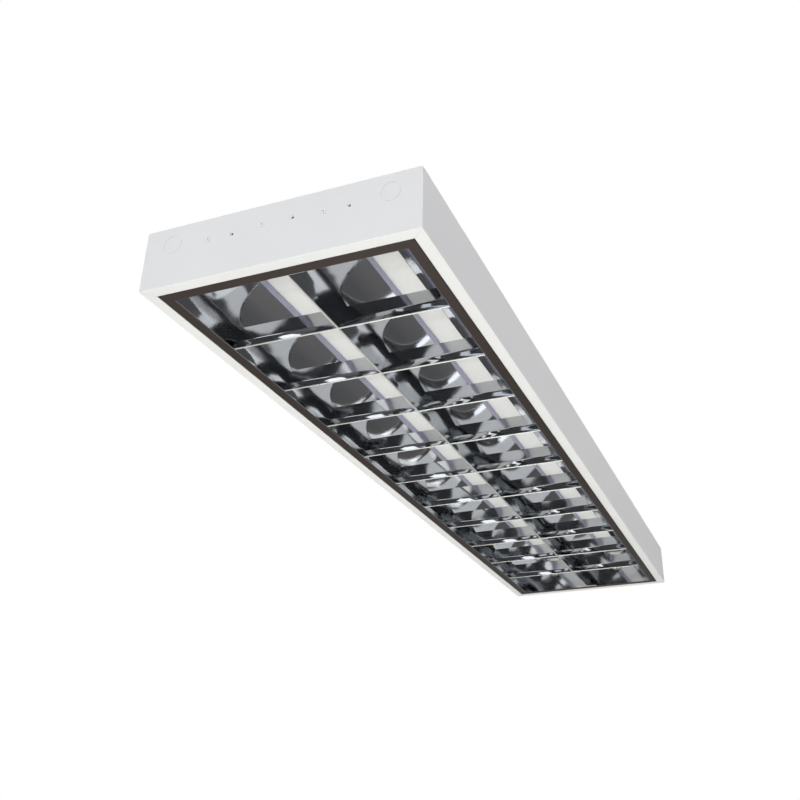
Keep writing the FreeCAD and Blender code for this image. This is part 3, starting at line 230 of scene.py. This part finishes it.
def bump(net, height, strength, distance):
    """A Bump node over a grey value."""
    relief = net.nodes.new("ShaderNodeBump")
    relief.inputs["Strength"].default_value = strength
    relief.inputs["Distance"].default_value = distance
    net.links.new(height, relief.inputs["Height"])
    return relief


# %% A general finish
LOW_GREY, HIGH_GREY = 0.3, 0.7
CLOUD_DETAIL, FINE_DETAIL = 6, 3
BUMP_DISTANCE = 0.001


def finish(name, colour, spread=0.03, rough=0.4, rough_spread=0.08, metallic=0.0,
           grain=(1, 1, 1), grain_scale=40, bump_scale=900, bump_strength=0.02):
    """A material with a gently varied colour and roughness and a fine surface."""
    material = bpy.data.materials.new(name)
    material.use_nodes = True
    net = material.node_tree
    shader = net.nodes["Principled BSDF"]
    shader.inputs["Metallic"].default_value = metallic
    place = stretched(net, grain)
    cloud = noise(net, place, grain_scale, CLOUD_DETAIL)
    tint = net.nodes.new("ShaderNodeValToRGB")
    for end, grey, share in ((0, LOW_GREY, 1 - spread), (1, HIGH_GREY, 1 + spread)):
        tint.color_ramp.elements[end].position = grey
        tint.color_ramp.elements[end].color = [min(1, part * share) for part in colour] + [1]
    net.links.new(cloud, tint.inputs["Fac"])
    net.links.new(tint.outputs["Color"], shader.inputs["Base Color"])
    polish = net.nodes.new("ShaderNodeMapRange")
    polish.inputs["From Min"].default_value = LOW_GREY
    polish.inputs["From Max"].default_value = HIGH_GREY
    polish.inputs["To Min"].default_value = rough
    polish.inputs["To Max"].default_value = rough + rough_spread
    net.links.new(cloud, polish.inputs["Value"])
    net.links.new(polish.outputs["Result"], shader.inputs["Roughness"])
    fine = noise(net, place, bump_scale, FINE_DETAIL)
    relief = bump(net, fine, bump_strength, BUMP_DISTANCE)
    net.links.new(relief.outputs["Normal"], shader.inputs["Normal"])
    return material


# %% [markdown]
# ### Bright aluminium
#
# The louvre is rolled aluminium, brightened to a mirror. Such sheet is never quite flat: slow
# waves bend what it reflects, and the rolling leaves faint streaks along its length. Its base
# colour is set lower than that of real bright aluminium, as painted shade: the mirrors then show
# a darker room than the lamps light. Three places get painted light. The outer flange has a
# painted dark, brownish reflection, the lips beside the tray are duller and have a painted
# bluish shade, and the folded lower edges of the spine and the blades have a painted pale
# highlight. They could be painted by hand, but they follow from where they lie, so masks on the
# Object coordinates pick them out.

# %% Masks and mixed colours
MASK_SOFT = 0.0004
COLOUR_A, COLOUR_B, COLOUR_OUT = 6, 7, 2  # the Mix node's sockets for colours


def step_mask(net, value, edge, soft=MASK_SOFT):
    """A mask that is 0 below an edge and 1 above it."""
    ramp = net.nodes.new("ShaderNodeMapRange")
    ramp.inputs["From Min"].default_value = edge - soft
    ramp.inputs["From Max"].default_value = edge + soft
    net.links.new(value, ramp.inputs["Value"])
    return ramp.outputs["Result"]


def blend_colour(net, share, first, second):
    """A colour that goes from first to second as share goes from 0 to 1."""
    mixer = net.nodes.new("ShaderNodeMix")
    mixer.data_type = "RGBA"
    net.links.new(share, mixer.inputs[0])
    for socket, value in ((mixer.inputs[COLOUR_A], first), (mixer.inputs[COLOUR_B], second)):
        if hasattr(value, "links"):
            net.links.new(value, socket)
        else:
            socket.default_value = (*value, 1)
    return mixer.outputs[COLOUR_OUT]


# %% Where the flange, the lips and the folded edges lie
FLANGE_X, FLANGE_Y = 0.1262, 0.6
LIP_Z = -0.0118
EDGE_Z = -0.0683
EDGE_SOFT = 0.0001


def louvre_masks(net, place, edge_reach):
    """Masks for the flange, the lips, and the folded lower edges as far as edge_reach from the
    middle."""
    axes = net.nodes.new("ShaderNodeSeparateXYZ")
    net.links.new(place, axes.inputs[0])
    from_middle = math_node(net, "ABSOLUTE", axes.outputs["X"])
    side = step_mask(net, from_middle, FLANGE_X)
    end = step_mask(net, math_node(net, "ABSOLUTE", axes.outputs["Y"]), FLANGE_Y)
    flange = math_node(net, "MAXIMUM", side, end)
    lip = step_mask(net, axes.outputs["Z"], LIP_Z)
    above = step_mask(net, axes.outputs["Z"], EDGE_Z, EDGE_SOFT)
    beside = step_mask(net, from_middle, edge_reach)
    elsewhere = math_node(net, "MAXIMUM", math_node(net, "MAXIMUM", above, beside), end)
    edge = math_node(net, "SUBTRACT", 1, elsewhere)
    return flange, lip, edge


# %% Bright aluminium
# Mirror base colour, set below real bright aluminium as painted shade, so the reflections show a
# darker room
MIRROR_COLOUR_WITH_PAINTED_SHADE = (0.50, 0.51, 0.53)
# Painted dark, brownish reflection on the outer flange
FLANGE_PAINTED_DARK_REFLECTION = (0.34, 0.275, 0.24)
# Painted bluish shade on the lips beside the tray
LIP_PAINTED_BLUISH_SHADE = (0.45, 0.45, 0.58)
# Painted pale highlight on the folded lower edges
EDGE_PAINTED_HIGHLIGHT = (0.88, 0.88, 0.86)
STREAK_STRETCH = (1, 0.03, 1)
STREAK_SCALE, STREAK_DETAIL = 160, 2
STREAK_DARK, STREAK_LIGHT = 0.93, 1.07
POLISH, STREAK_POLISH, LIP_POLISH, EDGE_POLISH = 0.045, 0.05, 0.35, 0.45
STREAK_STRENGTH, STREAK_DISTANCE = 0.01, 0.0002


def bright_metal(name, wave, wave_scale, edge_reach):
    """Mirror aluminium with slow waves and rolled streaks, its colour lowered as painted shade,
    and painted light at three places: a dark brownish reflection on the flange, a bluish shade
    on the lips and a pale highlight on the folded edges.
    """
    material = bpy.data.materials.new(name)
    material.use_nodes = True
    net = material.node_tree
    shader = net.nodes["Principled BSDF"]
    shader.inputs["Metallic"].default_value = 1
    place = net.nodes.new("ShaderNodeTexCoord").outputs["Object"]
    flange, lip, edge = louvre_masks(net, place, edge_reach)
    streak = noise(net, stretched(net, STREAK_STRETCH), STREAK_SCALE, STREAK_DETAIL)
    tint = blend_colour(net, streak, [part * STREAK_DARK for part in MIRROR_COLOUR_WITH_PAINTED_SHADE],
                        [part * STREAK_LIGHT for part in MIRROR_COLOUR_WITH_PAINTED_SHADE])
    # Painted dark, brownish reflection on the flange
    tint = blend_colour(net, flange, tint, FLANGE_PAINTED_DARK_REFLECTION)
    # Painted bluish shade on the lips
    tint = blend_colour(net, lip, tint, LIP_PAINTED_BLUISH_SHADE)
    # Painted pale highlight on the folded lower edges
    tint = blend_colour(net, edge, tint, EDGE_PAINTED_HIGHLIGHT)
    net.links.new(tint, shader.inputs["Base Color"])
    polish = math_node(net, "MULTIPLY_ADD", streak, STREAK_POLISH, POLISH)
    polish = math_node(net, "MULTIPLY_ADD", lip, LIP_POLISH, polish)
    polish = math_node(net, "MULTIPLY_ADD", edge, EDGE_POLISH, polish)
    net.links.new(polish, shader.inputs["Roughness"])
    slow = bump(net, noise(net, place, wave_scale, 0), 1, wave)
    fine = bump(net, streak, STREAK_STRENGTH, STREAK_DISTANCE)
    net.links.new(slow.outputs["Normal"], fine.inputs["Normal"])
    net.links.new(fine.outputs["Normal"], shader.inputs["Normal"])
    return material


# %% The two sheets of the louvre
SHEET_WAVE, SHEET_WAVE_SCALE = 0.00018, 22
BLADE_WAVE, BLADE_WAVE_SCALE = 0.00025, 45
# How far from the middle the painted highlight on the folded lower edges reaches
SPINE_REACH = 0.02
BLADE_REACH = 1

mirror_metal = bright_metal("bright_aluminium", SHEET_WAVE, SHEET_WAVE_SCALE, SPINE_REACH)
blade_metal = bright_metal("blade_aluminium", BLADE_WAVE, BLADE_WAVE_SCALE, BLADE_REACH)
print("mirror finishes", mirror_metal.name, blade_metal.name)

# %% [markdown]
# ### The finishes of this luminaire
#
# Stoved white paint has a slight orange peel. The other finishes are those of the small parts
# behind the louvre: zinc on steel, plastics, brass, bronze, rubber and the sleeves of wires.
# Each could have a net of its own, but they differ only in their numbers, so one table and the
# general finish do for all. The record's slot of each CAD node says which finish it gets.

# %% Finishes of the metals
FINISHES = {
    "white_steel": finish("white_paint", (0.85, 0.855, 0.86), 0.012, 0.34, 0.08,
                          grain_scale=14, bump_scale=650, bump_strength=0.05),
    "mirror_aluminium": mirror_metal,
    "rivet_aluminium": finish("rivet_metal", (0.62, 0.62, 0.64), 0.06, 0.3, 0.1, metallic=1,
                              grain_scale=300),
    "zinc_steel": finish("zinc_plate", (0.55, 0.56, 0.57), 0.08, 0.28, 0.15, metallic=1,
                         grain_scale=180),
    "spring_steel": finish("spring_steel", (0.45, 0.46, 0.48), 0.05, 0.22, 0.1, metallic=1,
                           grain=(1, 8, 1), grain_scale=90),
    "contact_bronze": finish("contact_bronze", (0.60, 0.42, 0.24), 0.1, 0.3, 0.15, metallic=1,
                             grain_scale=250),
    "terminal_brass": finish("terminal_brass", (0.62, 0.47, 0.20), 0.08, 0.28, 0.15,
                             metallic=1, grain_scale=250),
}
print(len(FINISHES), "finishes of metals")

# %% Finishes of the plastics, rubber and sleeves
FINISHES.update({
    "holder_plastic": finish("holder_plastic", (0.80, 0.80, 0.77), 0.02, 0.25, 0.1,
                             bump_scale=1200, bump_strength=0.03),
    "rotor_plastic": finish("rotor_plastic", (0.74, 0.74, 0.71), 0.02, 0.4, 0.1,
                            bump_scale=1400, bump_strength=0.04),
    "gear_case": finish("gear_case", (0.72, 0.72, 0.70), 0.02, 0.4, 0.1, bump_strength=0.05),
    "circuit_board": finish("circuit_board", (0.30, 0.22, 0.09), 0.15, 0.5, 0.1,
                            grain_scale=200),
    "terminal_plastic": finish("terminal_plastic", (0.78, 0.78, 0.72), 0.03, 0.45, 0.1),
    "grommet_rubber": finish("grommet_rubber", (0.03, 0.03, 0.03), 0.2, 0.6, 0.15,
                             bump_strength=0.1),
    "clip_plastic": finish("clip_plastic", (0.80, 0.80, 0.78), 0.03, 0.4, 0.1),
    "lead_insulation": finish("lead_sleeve", (0.72, 0.72, 0.70), 0.04, 0.35, 0.1),
    "mains_insulation": finish("mains_sleeve", (0.10, 0.14, 0.26), 0.06, 0.35, 0.1),
    "earth_insulation": finish("earth_sleeve", (0.16, 0.40, 0.05), 0.08, 0.35, 0.1),
})
print(len(FINISHES), "finishes")

# %% Each CAD node gets the finish of its slot
slot_of = {part["node"]: part["material_slot"] for part in frame["record"]["subparts"]}
for name, node in nodes.items():
    for socket in node.material_slots:
        socket.material = FINISHES[slot_of[name]]
print(len(nodes), "nodes have a finish")

# %% [markdown]
# ## Cross blades
#
# Ten equal blades cross both channels. One could copy the object ten times, but a row of equal
# pieces is what Geometry Nodes are for: one blade goes in, and a line of points, a pitch apart
# along Y, carries its copies. The blade itself is a welded copy of the first solid, shaded
# smooth except at its folds, so its slightly hollow faces reflect without facets.

# %% One blade, welded and smooth
BLADES = sorted(name for name in nodes if name.startswith("cross_blade_"))
BLADE_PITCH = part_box(BLADES[1])[0][1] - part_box(BLADES[0])[0][1]
FOLD_ANGLE_DEG = 35
WELD_DISTANCE = 0.000002

blade_mesh = nodes[BLADES[0]].data.copy()
shell = bmesh.new()
shell.from_mesh(blade_mesh)
bmesh.ops.remove_doubles(shell, verts=shell.verts, dist=WELD_DISTANCE)
for face in shell.faces:
    face.smooth = True
shell.to_mesh(blade_mesh)
shell.free()
blade_mesh.set_sharp_from_angle(angle=math.radians(FOLD_ANGLE_DEG))
one_blade = bpy.data.objects.new("one_blade", blade_mesh)
bpy.context.scene.collection.objects.link(one_blade)
print("a blade has", len(blade_mesh.polygons), "faces; pitch", round(BLADE_PITCH, 4))

# %% A tree of nodes that makes a row
ROW_INPUTS = [("Piece", "NodeSocketGeometry"), ("Count", "NodeSocketInt"),
              ("Pitch", "NodeSocketFloat"), ("Finish", "NodeSocketMaterial")]


def row_tree(name):
    """A tree that sets Count copies of a piece in a row along Y, Pitch apart."""
    tree = bpy.data.node_groups.new(name, "GeometryNodeTree")
    for label, kind in ROW_INPUTS:
        tree.interface.new_socket(label, in_out="INPUT", socket_type=kind)
    tree.interface.new_socket("Row", in_out="OUTPUT", socket_type="NodeSocketGeometry")
    given = tree.nodes.new("NodeGroupInput")
    step = tree.nodes.new("ShaderNodeCombineXYZ")
    tree.links.new(given.outputs["Pitch"], step.inputs["Y"])
    line = tree.nodes.new("GeometryNodeMeshLine")
    line.mode = "OFFSET"
    tree.links.new(given.outputs["Count"], line.inputs["Count"])
    tree.links.new(step.outputs["Vector"], line.inputs["Offset"])
    copies = tree.nodes.new("GeometryNodeInstanceOnPoints")
    tree.links.new(line.outputs["Mesh"], copies.inputs["Points"])
    tree.links.new(given.outputs["Piece"], copies.inputs["Instance"])
    real = tree.nodes.new("GeometryNodeRealizeInstances")
    tree.links.new(copies.outputs["Instances"], real.inputs["Geometry"])
    paint = tree.nodes.new("GeometryNodeSetMaterial")
    tree.links.new(real.outputs["Geometry"], paint.inputs["Geometry"])
    tree.links.new(given.outputs["Finish"], paint.inputs["Material"])
    result = tree.nodes.new("NodeGroupOutput")
    tree.links.new(paint.outputs["Geometry"], result.inputs["Row"])
    return tree


# %% The row of blades


def set_input(modifier, name, value):
    """Set a node modifier's input by its socket's identifier."""
    for item in modifier.node_group.interface.items_tree:
        if item.name == name and item.in_out == "INPUT":
            modifier[item.identifier] = value


row = one_blade.modifiers.new("row", "NODES")
row.node_group = row_tree("row_of_pieces")
set_input(row, "Count", len(BLADES))
set_input(row, "Pitch", BLADE_PITCH)
set_input(row, "Finish", blade_metal)
seen_row = one_blade.evaluated_get(bpy.context.evaluated_depsgraph_get())
blades_mesh = bpy.data.meshes.new_from_object(seen_row)
one_blade.modifiers.remove(row)
bpy.data.objects.remove(one_blade)

cross_blades = bpy.data.objects.new("cross_blades", blades_mesh)
bpy.context.scene.collection.objects.link(cross_blades)
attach(cross_blades, "louvre")
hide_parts(*BLADES)
print(len(BLADES), "blades,", len(blades_mesh.polygons), "faces")
